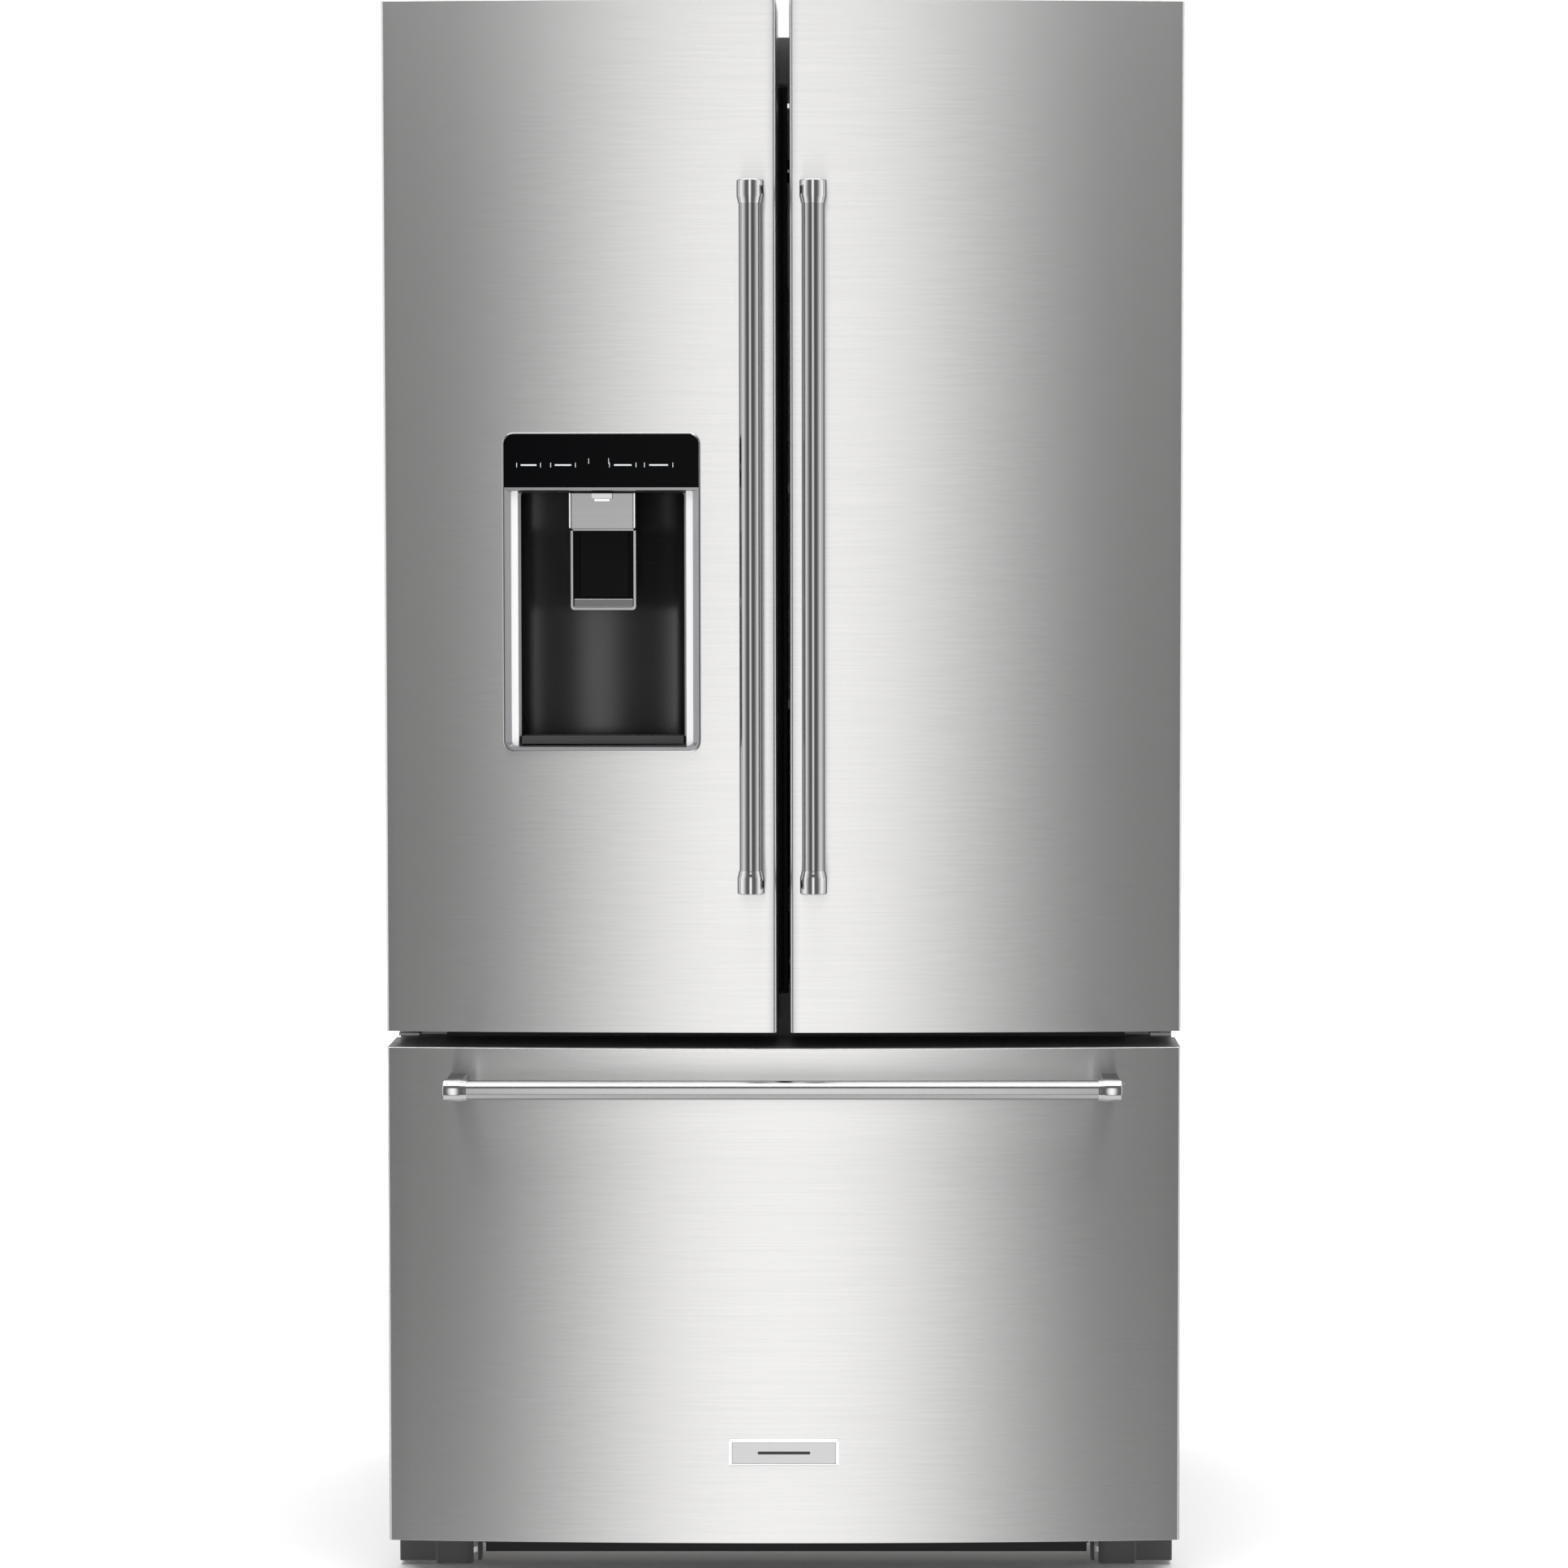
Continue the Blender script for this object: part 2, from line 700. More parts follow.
def cavity_outline(x, front, back, depth, steps=40):
    points = [(x[0], front)]
    middle = middle_of(x)
    half = (x[1] - x[0]) / 2
    for i in range(steps + 1):
        a = math.pi * i / steps
        points.append((middle - half * math.cos(a), back - depth + depth * math.sin(a)))
    points.append((x[1], front))
    return points


def build_dispenser():
    outer = rounded_loop(DISPENSER_X, DISPENSER_Z, 0.013)
    rim = 0.0016

    def inset(amount, radius):
        return rounded_loop(shrink(DISPENSER_X, amount), shrink(DISPENSER_Z, amount), radius)

    edge = lofted_ring(
        "dispenser_rim",
        [
            (outer, 0.0),
            (outer, -0.0024),
            (inset(0.0006, 0.0125), -0.0033),
            (inset(rim, 0.0116), -0.0035),
            (inset(rim + 0.0003, 0.0114), -0.0026),
            (inset(rim + 0.0003, 0.0114), 0.0),
        ],
        "chrome",
    )
    ride("door_left", edge, slot="dispenser_trim", replaces=["dispenser_bezel"])
    side = rim + 0.0004
    frame_x = shrink(DISPENSER_X, side)
    frame_z = (DISPENSER_Z[0] + side, PANEL_LOW - 0.0002)
    front_loop = rounded_loop(frame_x, frame_z, 0.0112, corners=(1, 1, 0, 0))
    mouth = rounded_loop(OPENING_X, OPENING_Z, 0.0035)
    facet_x = shrink(frame_x, 0.0012)
    facet_loop = rounded_loop(
        facet_x, (frame_z[0] + 0.004, frame_z[1] - 0.003), 0.008, corners=(1, 1, 0.1, 0.1)
    )
    facet = lofted_ring(
        "dispenser_bezel_facets",
        [(front_loop, 0.0), (front_loop, -0.0034), (facet_loop, -0.0034), (mouth, 0.012), (mouth, 0.0135)],
        "bezel",
    )
    ride("door_left", facet, slot="dispenser_trim")
    panel_loop = rounded_loop(frame_x, (PANEL_LOW, DISPENSER_Z[1] - side), 0.0112, corners=(0, 0, 1, 1))
    ride(
        "door_left",
        soften(plate("dispenser_glass", panel_loop, (-0.0032, -0.0002), "black_glass"), 0.0004, 2),
        slot="dispenser_glass", replaces=["dispenser_panel"],
    )
    build_marks()
    outer_x = shrink(OPENING_X, -SHEET)
    outer_z = (OPENING_Z[0] - SHEET - 0.0003, OPENING_Z[1] + SHEET)
    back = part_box("dispenser_cavity")[1][1] - SHEET
    shell = prism("dispenser_recess", bow_outline(outer_x, 0.0137, back + SHEET), outer_z, "cavity")
    room = prism("room", cavity_outline(OPENING_X, -0.36, back, 0.035), (OPENING_Z[0] - 0.0003, OPENING_Z[1]))
    cut(shell, room)
    ride("door_left", shell, slot="dispenser_cavity", replaces=["dispenser_cavity"])
    build_nozzle()
    build_paddle()
    build_drip_tray()


def mark_bars(bars):
    """Thin raised marks on the glass, each given as (x span, z span)."""
    bm = bmesh.new()
    for x, z in bars:
        middle = middle_of(x)
        add_box(bm, x, span(bow_y(middle) - 0.00335, 0.00006), z)
    ride("door_left", add_object("panel_marks", bm, "marks"))


def build_marks():
    z = 1.2785
    bars = []
    for centre, half in ((-0.287, 0.0135), (-0.248, 0.014), (-0.1805, 0.015), (-0.14, 0.016)):
        for side in (-1, 1):
            bars.append((span(centre + side * half, 0.00035), span(z, 0.0026)))
        bars.append((span(centre, half * 0.66), span(z, 0.00085)))
    for x in (-0.219, -0.1965):
        bars.append((span(x, 0.0003), span(z + 0.0045, 0.003)))
    mark_bars(bars)


def build_nozzle():
    x, y, z = node_spans("dispenser_nozzle")
    ride(
        "door_left",
        soften(box("nozzle_block", shrink(x, 0.0022), (y[0] + 0.0008, y[1]), z, "nozzle"), 0.001),
        slot="dispenser_nozzle", replaces=["dispenser_nozzle"],
    )
    for side, word in SIDES:
        edge_x = (x[0], x[0] + 0.0021) if side < 0 else (x[1] - 0.0021, x[1])
        ride(
            "door_left",
            soften(box(f"nozzle_edge_{word}", edge_x, y, (z[0] + 0.0008, z[1]), "chrome"), 0.0006, 2),
            slot="dispenser_trim",
        )
    middle = middle_of(x)
    tab = soften(
        box(
            "nozzle_tab", span(middle, 0.012), (y[0] - 0.0035, y[0] + 0.001), (z[1] - 0.0068, z[1] - 0.0002),
            "trim_satin",
        ),
        0.0009, 3,
    )
    clip = box(
        "nozzle_clip", span(middle, 0.0085), (y[0] - 0.0012, y[0] + 0.001), (z[1] - 0.0094, z[1] - 0.007),
        "chrome",
    )
    ride("door_left", tab, clip)


def build_paddle():
    x, y, z = node_spans("dispenser_paddle")
    outer = rounded_loop(x, z, 0.004, 6, (1, 1, 0.1, 0.1))
    inner = rounded_loop(shrink(x, 0.0026), (z[0] + 0.0024, z[1] + 0.002), 0.003, 6, (1, 1, 0.1, 0.1))
    rim = flat_ring("paddle_frame", outer, inner, (y[0] - 0.0035, y[1]), "paddle_metal")
    clip_top = box("clip", shrink(x, -0.01), shrink(y, -0.02), (z[1], z[1] + 0.02))
    cut(rim, clip_top)
    soften(rim, 0.0005, 2)
    pad = soften(
        box("paddle_pad", narrow(x, 0.01, 0.008), narrow(y, 0.0002, 0.0004), narrow(z, 0.015, 0.0005), "pad"),
        0.0012, 3,
    )
    back = box(
        "paddle_back", shrink(x, 0.0027), (y[0] + 0.0022, y[1]), narrow(z, 0.0026, 0.0004), "black_glass"
    )
    lip = box(
        "paddle_lip", shrink(x, 0.0036), (y[0] - 0.0012, y[0] + 0.0021), (z[0] + 0.0028, z[0] + 0.0125),
        "chrome",
    )
    for vert in lip.data.vertices:
        if vert.co.z > z[0] + 0.01:
            vert.co.y = max(vert.co.y, y[0] + 0.0012)
    soften(lip, 0.0004, 2)
    ride("paddle", rim, pad, back, lip, slot="dispenser_paddle", replaces=["dispenser_paddle"])


def flat_ring(name, outer, inner, y, material):
    """A flat frame between two loops of X and Z points, from y[0] to y[1]."""
    bm = bmesh.new()
    rows = []
    for points, depth in ((outer, y[1]), (outer, y[0]), (inner, y[0]), (inner, y[1])):
        rows.append([bm.verts.new((px, depth, pz)) for px, pz in points])
    bridge(bm, rows + rows[:1])
    return add_object(name, bm, material)


def build_drip_tray():
    x, y, z = node_spans("drip_tray")
    body = box("drip_tray_body", x, y, z, "tray")
    wells = []
    count = 22
    for i in range(count):
        centre = x[0] + 0.01 + (x[1] - x[0] - 0.02) * i / (count - 1)
        wells.append((span(centre, 0.0026), narrow(y, 0.005, 0.004), (z[0] + 0.0015, z[1] + 0.01)))
    cut(body, boxes("wells", wells))
    soften(body, 0.0006, 2)
    ride("drip_tray", body, slot="drip_tray", replaces=["drip_tray"])


# ---------------------------------------------------------------- base


def build_base():
    for side, word in SIDES:
        ride("cabinet", foot_cover(side, word), slot="foot_grey", replaces=[f"foot_cover_{word}"])


def foot_cover(side, word):
    """A stepped skirt with a slanted inner end, hollow behind."""
    top = 0.0335
    outline = [(0.45, -0.2187), (0.45, -0.245), (0.4485, -0.247), (0.4085, -0.247), (0.4055, -0.25)]
    outline += [(0.37, -0.25), (0.368, -0.2494), (0.356, -0.233), (0.356, -0.2187)]
    cover = prism(f"{word}_foot_cover", [(side * px, py) for px, py in outline], (0.0022, top), "foot")
    low_cut = boxes("low_cut", [(mirrored((0.407, 0.47), side), (-0.27, -0.2), (-0.01, 0.0052))])
    under = boxes("under", [(mirrored((0.36, 0.446), side), (-0.244, -0.19), (-0.01, 0.03))])
    cut(cover, low_cut, under)
    return soften(cover, 0.0012, 3, 25)


# ---------------------------------------------------------------- fresh food room


def build_liners():
    """Moulded liners with rounded inner corners, shelf rails and lamp lenses."""
    for name, radius in (("fridge_liner", 0.03), ("freezer_liner", 0.022)):
        low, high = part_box(name)
        outer = [(low[0], low[2]), (high[0], low[2]), (high[0], high[2]), (low[0], high[2])]
        bm = bmesh.new()
        inner_x = (low[0] + SHEET, high[0] - SHEET)
        inner_z = (low[2] + SHEET, high[2] - SHEET)
        y = (low[1], high[1] - SHEET)
        rings = []
        for inward, depth, corner_radius in (
            (0.0, y[0], 0.004),
            (0.0, y[0] + 0.03, radius),
            (0.0, y[1] - 0.03, radius),
            (0.0016, y[1] - 0.016, radius),
            (0.008, y[1] - 0.005, radius),
            (0.02, y[1], radius),
        ):
            loop = rounded_loop(
                shrink(inner_x, inward), shrink(inner_z, inward), corner_radius
            )
            rings.append([bm.verts.new((px, depth, pz)) for px, pz in loop])
        outside = []
        for depth in (y[1] + SHEET, y[0]):
            loop = rounded_loop((low[0], high[0]), (low[2], high[2]), 0.002)
            outside.append([bm.verts.new((px, depth, pz)) for px, pz in loop])
        rows = outside + rings
        bridge(bm, rows)
        bm.faces.new(rows[-1])
        bm.faces.new(list(reversed(rows[0])))
        ride(
            "cabinet", add_object(name + "_moulded", bm, "white", angle=50), slot="liner_white",
            replaces=[name],
        )
    rails = []
    for z in (1.4955, 1.2455, 0.9855):
        for side in (-1, 1):
            rails.append((mirrored((0.3875, 0.3948), side), (-0.07, 0.296), (z - 0.0075, z + 0.004)))
    for z in (1.37, 1.62, 1.12):
        for side in (-1, 1):
            rails.append((mirrored((0.3915, 0.3948), side), (-0.07, 0.296), (z - 0.0045, z + 0.0045)))
    ride("cabinet", soften(boxes("liner_rails", rails, "white"), 0.0018, 3), slot="liner_white")
    for side, word in SIDES:
        lens_x = mirrored((0.3915, 0.395), side)
        ride(
            "cabinet",
            rounded_prism(f"side_lamp_{word}", lens_x, (-0.135, -0.115), (1.06, 1.64), 0.0012, "lamp"),
        )
    top = soften(boxes("top_lamp", [(span(0, 0.15), (-0.06, -0.01), (1.7155, 1.7198))], "lamp"), 0.0015)
    frame_box = flat_frame(
        "top_lamp_frame", (-0.158, 0.158), (-0.068, -0.002), (1.715, 1.7199), 0.0075, "pale"
    )
    ride("cabinet", top)
    ride("cabinet", frame_box)


def flat_frame(name, x, y, z, width, material):
    """A rectangular frame lying flat."""
    frame_piece = box(name, x, y, z, material)
    hole = box("hole", shrink(x, width), shrink(y, width), shrink(z, -0.01))
    cut(frame_piece, hole)
    return soften(frame_piece, 0.001, 2)


def build_shelf(name):
    """A glass pane in a moulded frame with a satin front trim."""
    x, y, z = node_spans(name)
    rim = 0.0145
    rail = box(name + "_frame", x, (y[0] + 0.0085, y[1]), narrow(z, 0.0008, 0.0006), "pale")
    hole = box("hole", shrink(x, rim), shrink(y, rim), shrink(z, -0.01))
    seat = box(
        "seat", (x[0] + rim - 0.004, x[1] - rim + 0.004), (y[0] + rim - 0.004, y[1] - rim + 0.004),
        (z[0] + 0.0056, z[0] + 0.0104),
    )
    cut(rail, hole, seat)
    soften(rail, 0.0012)
    pane = soften(
        box(
            name + "_glass", (x[0] + rim - 0.0037, x[1] - rim + 0.0037),
            (y[0] + rim - 0.0037, y[1] - rim + 0.0037), (z[0] + 0.0059, z[0] + 0.0101), "shelf_glass",
        ),
        0.0004, 2,
    )
    trim = soften(box(name + "_trim", shrink(x, 0.0004), (y[0], y[0] + 0.0086), z, "trim_satin"), 0.0018)
    ride("cabinet", rail, pane, trim, slot="clear_shelf", replaces=[name])


def build_drawer_box(name, band):
    """A clear drawer with a ribbed body, a front panel and a grip band along its top."""
    body = NODES[name]["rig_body"]
    x, y, z = node_spans(name)
    shell = rounded_prism(
        name + "_bin", shrink(x, 0.0012), narrow(y, 0.009, 0.0006), (z[0], z[1] - 0.0004), 0.012, "bin_clear"
    )
    inner = rounded_prism(
        "inner", shrink(x, 0.004), narrow(y, 0.012, 0.0034), (z[0] + 0.003, z[1] + 0.02), 0.01
    )
    cut(shell, inner)
    soften(shell, 0.0009, 2)
    rim_outer = rounded_prism(
        name + "_rim", x, (y[0] + 0.008, y[1]), (z[1] - 0.006, z[1]), 0.012, "bin_clear"
    )
    rim_inner = rounded_prism(
        "inner", shrink(x, 0.0043), narrow(y, 0.0123, 0.0037), (z[1] - 0.02, z[1] + 0.02), 0.01
    )
    cut(rim_outer, rim_inner)
    soften(rim_outer, 0.0007, 2)
    front = soften(
        box(
            name + "_front", (x[0], x[1]), (y[0] + 0.0016, y[0] + 0.0088),
            (z[0] + 0.0006, z[1] - band - 0.0004), "bin_clear",
        ),
        0.0022,
    )
    grip = box(name + "_grip", x, (y[0], y[0] + 0.0092), (z[1] - band, z[1]), "pale")
    middle = middle_of(x)
    hollow = box(
        "hollow", span(middle, 0.085), (y[0] + 0.0052, y[0] + 0.02), (z[1] - band - 0.01, z[1] - 0.0055)
    )
    scoop = box(
        "scoop", span(middle, 0.082), (y[0] - 0.01, y[0] + 0.003), (z[1] - band - 0.01, z[1] - band + 0.0065)
    )
    cut(grip, hollow, scoop)
    soften(grip, 0.0014)
    strip = soften(
        box(
            name + "_strip", shrink(x, 0.01), (y[0] + 0.0002, y[0] + 0.0014),
            (z[1] - band + 0.0095, z[1] - band + 0.0125), "trim_satin",
        ),
        0.0004, 2,
    )
    ride(body, shell, rim_outer, front, grip, strip, slot="clear_bin", replaces=[name])


def build_crisper_controls():
    """A humidity slide over each crisper, set in the cover's front trim."""
    low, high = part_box("crisper_cover")
    for side, word in SIDES:
        middle = side * 0.197
        track = soften(
            box(
                f"humidity_track_{word}", span(middle, 0.046), (low[1] + 0.0165, low[1] + 0.03),
                (high[2] - 0.0017, high[2] - 0.0007), "pale",
            ),
            0.0005, 2,
        )
        knob = soften(
            box(
                f"humidity_knob_{word}", span(middle + 0.014, 0.009), (low[1] + 0.0185, low[1] + 0.028),
                (high[2] - 0.0008, high[2]), "black",
            ),
            0.0003, 2,
        )
        ride("cabinet", track)
        ride("cabinet", knob)


def build_air_tower():
    softened("air_tower", 0.0022, "white", "liner_white", 3)
    low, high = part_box("air_tower")
    panel = rounded_prism(
        "tower_panel", span(0, 0.044), (low[1] - 0.002, low[1] + 0.0005), (1.656, 1.686), 0.0008,
        "black_glass",
    )
    buttons = boxes(
        "tower_buttons",
        [
            (span(x, 0.005), (low[1] - 0.0026, low[1] - 0.0018), (1.669, 1.673))
            for x in (-0.03, -0.01, 0.01, 0.03)
        ],
        "marks",
    )
    ride("cabinet", panel)
    ride("cabinet", buttons)
    ribs = [
        (span(side * 0.054, 0.0016), (low[1] - 0.0012, low[1] + 0.001), (0.845, 1.64)) for side in (-1, 1)
    ]
    ride("cabinet", soften(boxes("tower_ribs", ribs, "trim_satin"), 0.0005, 2))


# ---------------------------------------------------------------- door inner faces


def build_bin(name, body):
    """A clear door bin with round corners, a stepped rim, ribs and a satin front trim."""
    x, y, z = node_spans(name)
    shell = rounded_prism(name + "_bin", x, (y[0], y[1] - 0.002), (z[0], z[1] - 0.001), 0.016, "bin_clear", 8)
    inner = rounded_prism(
        "inner", shrink(x, 0.003), narrow(y, 0.003, 0.005), (z[0] + 0.003, z[1] + 0.02), 0.0135, None, 8
    )
    cut(shell, inner)
    soften(shell, 0.0008, 2)
    trim = rounded_prism(
        name + "_trim", shrink(x, 0.0004), (y[1] - 0.04, y[1]), (z[1] - 0.016, z[1]), 0.017, "trim_satin", 8
    )
    hole = rounded_prism(
        "hole", shrink(x, 0.0031), (y[1] - 0.08, y[1] - 0.0026), (z[1] - 0.04, z[1] + 0.02), 0.0145, None, 8
    )
    cut(trim, hole)
    soften(trim, 0.0008, 2)
    ribs = []
    for i in range(7):
        px = x[0] + 0.035 + (x[1] - x[0] - 0.07) * i / 6
        ribs.append((span(px, 0.001), narrow(y, 0.012, 0.014), (z[0] + 0.0028, z[0] + 0.0046)))
    ribbing = boxes(name + "_ribs", ribs, "bin_clear")
    ride(body, shell, trim, ribbing, slot="clear_bin", replaces=[name])


def build_ice_box():
    """The ice maker's housing on the left door: a lidded white box with a latch and vents."""
    x, y, z = node_spans("ice_box")
    housing = rounded_prism("ice_housing", x, (y[0], y[1] - 0.01), (z[0], z[1] - 0.002), 0.01, "white", 6)
    room = box("room", shrink(x, 0.006), shrink(y, 0.02), (z[0] + 0.02, z[1] + 0.02))
    cut(housing, room)
    soften(housing, 0.002)
    lid = rounded_prism(
        "ice_lid", shrink(x, 0.002), (y[1] - 0.011, y[1] - 0.0006), narrow(z, 0.036, 0.003), 0.0045, "pale", 6
    )
    recess = rounded_prism(
        "recess", shrink(x, 0.02), (y[1] - 0.003, y[1] + 0.01), narrow(z, 0.056, 0.024), 0.001
    )
    cut(lid, recess)
    soften(lid, 0.0016)
    middle = middle_of(x)
    latch = soften(
        box(
            "ice_latch", span(x[1] - 0.032, 0.0085), (y[1] - 0.004, y[1]), span(middle_of(z) + 0.01, 0.03),
            "frame_grey",
        ),
        0.0018,
    )
    vents = boxes(
        "ice_vents",
        [
            (
                span(middle - 0.06 + i * 0.02, 0.0068), (y[1] - 0.0108, y[1] - 0.0096),
                span(z[0] + 0.018, 0.0045),
            )
            for i in range(7)
        ],
        "frame_grey",
    )
    cap = soften(
        rounded_prism(
            "ice_cap", shrink(x, 0.001), narrow(y, 0.001, 0.011), (z[1] - 0.003, z[1]), 0.009, "white", 6
        ),
        0.001, 2,
    )
    ride("door_left", housing, lid, latch, vents, cap, slot="ice_box_white", replaces=["ice_box"])


def build_gasket(name, body):
    """A magnetic door seal: a bellows between its foot on the door and its flat magnet strip."""
    x, y, z = node_spans(name)
    width = 0.017
    depth = y[1] - y[0]
    profile = [
        (0.0012, 0.00), (0.0012, 0.16), (0.004, 0.22), (0.004, 0.34), (0.0004, 0.46), (0.004, 0.58),
        (0.0, 0.7), (0.0, 0.94), (0.0008, 1.0),
    ]
    bm = bmesh.new()
    rows = []
    for inset, share in profile:
        loop = rounded_loop(shrink(x, inset), shrink(z, inset), 0.006, 4)
        rows.append([bm.verts.new((px, y[0] + depth * share, pz)) for px, pz in loop])
    for inset, share in reversed(profile):
        grow = width - inset
        loop = rounded_loop(shrink(x, grow), shrink(z, grow), 0.004, 4)
        rows.append([bm.verts.new((px, y[0] + depth * share, pz)) for px, pz in loop])
    bridge(bm, rows + rows[:1])
    ride(body, add_object(name + "_seal", bm, "seal", angle=40), slot="gasket_grey", replaces=[name])


def build_door_inside(side, word):
    body = f"door_{word}"
    softened(f"door_{word}_liner", 0.0035, "white", "liner_white", 3)
    build_gasket(f"door_{word}_gasket", body)
    studs = []
    for z in (0.76, 0.9, 1.01, 1.16, 1.25, 1.4, 1.49, 1.64):
        for px in (0.028 if side > 0 else 0.056, 0.385):
            inner = px + 0.02 if px < 0.2 else px - 0.022
            studs.append((mirrored((inner, inner + 0.002), side), (-0.212, -0.196), span(z, 0.008)))
    ride(body, soften(boxes(f"{word}_bin_studs", studs, "white"), 0.0008, 2), slot="liner_white")


def build_flap():
    """The hinged mullion bar: a dark body with two grooves down its face and a guide on top."""
    x, y, z = node_spans("mullion_flap")
    bar = box("flap_bar", x, y, z, "dark_gap")
    groove = boxes(
        "groove",
        [
            (span(x[0] + 0.0165, 0.0008), (y[0] - 0.01, y[0] + 0.0012), shrink(z, -0.01)),
            (span(x[1] - 0.006, 0.0008), (y[0] - 0.01, y[0] + 0.0012), shrink(z, -0.01)),
        ],
    )
    cut(bar, groove)
    soften(bar, 0.0016)
    guides = soften(
        boxes(
            "flap_guides", [(span(x[0] + 0.03, 0.009), shrink(y, 0.003), (z[1] - 0.001, z[1] + 0.003))],
            "black",
        ),
        0.001, 2,
    )
    ride("flap", bar, guides, slot="flap_grey", replaces=["mullion_flap"])


# ---------------------------------------------------------------- freezer


def build_basket(name, slot_rows, wall=0.003):
    """A moulded basket with rows of openings in its sides and floor, and a rolled rim."""
    body = NODES[name]["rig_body"]
    x, y, z = node_spans(name)
    shell = rounded_prism(
        name + "_tub", shrink(x, 0.0035), shrink(y, 0.0035), (z[0], z[1] - 0.001), 0.018, "basket", 6
    )
    inner = rounded_prism(
        "inner", (x[0] + 0.0035 + wall, x[1] - 0.0035 - wall), (y[0] + 0.0035 + wall, y[1] - 0.0035 - wall),
        (z[0] + wall, z[1] + 0.02), 0.016, None, 6,
    )
    cut(shell, inner)
    fronts = []
    sides = []
    for z_span in slot_rows:
        for i in range(17):
            px = x[0] + 0.045 + (x[1] - x[0] - 0.09) * i / 16
            fronts.append((span(px, 0.0125), shrink(y, -0.02), z_span))
        for i in range(7):
            py = y[0] + 0.042 + (y[1] - y[0] - 0.084) * i / 6
            sides.append((shrink(x, -0.02), span(py, 0.011), z_span))
    cut(shell, boxes("front_slots", fronts))
    cut(shell, boxes("side_slots", sides))
    soften(shell, 0.0007, 2)
    rim = rounded_prism(name + "_rim", x, y, (z[1] - 0.011, z[1]), 0.02, "basket", 6)
    rim_hole = rounded_prism(
        "rim_hole", shrink(x, 0.0068), shrink(y, 0.0068), (z[1] - 0.03, z[1] + 0.02), 0.015, None, 6
    )
    cut(rim, rim_hole)
    soften(rim, 0.002)
    ribs = [
        (
            span(x[0] + 0.1 + i * (x[1] - x[0] - 0.2) / 3, 0.0018), shrink(y, 0.02),
            (z[0] + wall - 0.0004, z[0] + wall + 0.003),
        )
        for i in range(4)
    ]
    ribbing = boxes(name + "_floor_ribs", ribs, "basket")
    ride(body, shell, rim, ribbing, slot="basket_white", replaces=[name])


def build_freezer():
    build_basket("lower_basket", [(0.168, 0.222), (0.236, 0.29), (0.304, 0.358)])
    build_basket("upper_basket", [(0.442, 0.478), (0.49, 0.526)])
    low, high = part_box("upper_basket")
    ride(
        "upper_basket",
        soften(
            box(
                "upper_basket_grip", span(0, 0.12), (low[1] - 0.004, low[1] + 0.006),
                (high[2] - 0.022, high[2] - 0.001), "trim_satin",
            ),
            0.0025,
        ),
        slot="basket_white",
    )
    softened("drawer_liner", 0.003, "white", "liner_white", 3)
    build_gasket("drawer_gasket", "freezer_drawer")
    for side, word in SIDES:
        ride(
            "freezer_drawer",
            soften(
                boxes(
                    f"drawer_arm_cover_{word}",
                    [(mirrored((0.3568, 0.3672), side), (-0.18, 0.1102), (0.2898, 0.3302))], "zinc",
                ),
                0.001, 2,
            ),
        )
        softened(f"drawer_slide_{word}", 0.0012, "zinc", "zinc_hardware")
        low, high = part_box(f"drawer_slide_{word}")
        ride(
            "cabinet",
            soften(
                boxes(
                    f"slide_mount_{word}",
                    [
                        (mirrored((0.3823, 0.3949), side), (y, y + 0.03), (0.285, 0.335))
                        for y in (-0.2, -0.06, 0.08)
                    ],
                    "zinc",
                ),
                0.0015, 2,
            ),
        )
    softened("evaporator_cover", 0.0012, "white", "liner_white")
    lines = []
    for i in range(8):
        a = math.pi * i / 8
        dx, dz = 0.0475 * math.cos(a), 0.0475 * math.sin(a)
        lines.append(((-dx, 0.133, 0.515 - dz), (dx, 0.133, 0.515 + dz)))
    ride("cabinet", wire_frame("fan_grill_spokes", lines, 0.0009, "fan_white", 8))
    for index, radius in enumerate((0.015, 0.03, 0.0465)):
        ride(
            "cabinet",
            turned(
                f"fan_grill_ring_{index}",
                [
                    (radius - 0.001, 0), (radius - 0.001, 0.0018), (radius + 0.001, 0.0018),
                    (radius + 0.001, 0), (radius - 0.001, 0),
                ],
                (0, 0.132, 0.515), (0, 1, 0), "fan_white", 48,
            ),
        )
    ride(
        "cabinet",
        soften(boxes("freezer_lamp", [(span(0, 0.06), (0.03, 0.06), (0.5805, 0.5848))], "lamp"), 0.0012, 2),
    )
    softened("evaporator", 0.0006, "aluminium", "bare_aluminium", 1)
    coils = []
    for z in (0.19, 0.25, 0.31, 0.37):
        coils.append(
            tube(
                f"evaporator_coil_{int(z * 1000)}",
                [(-0.252, 0.15, z), (-0.262, 0.15, z), (-0.262, 0.15, z + 0.03), (-0.252, 0.15, z + 0.03)],
                0.0032, "aluminium",
            )
        )
    for coil in coils:
        ride("cabinet", coil)


# ---------------------------------------------------------------- top, back and machine room


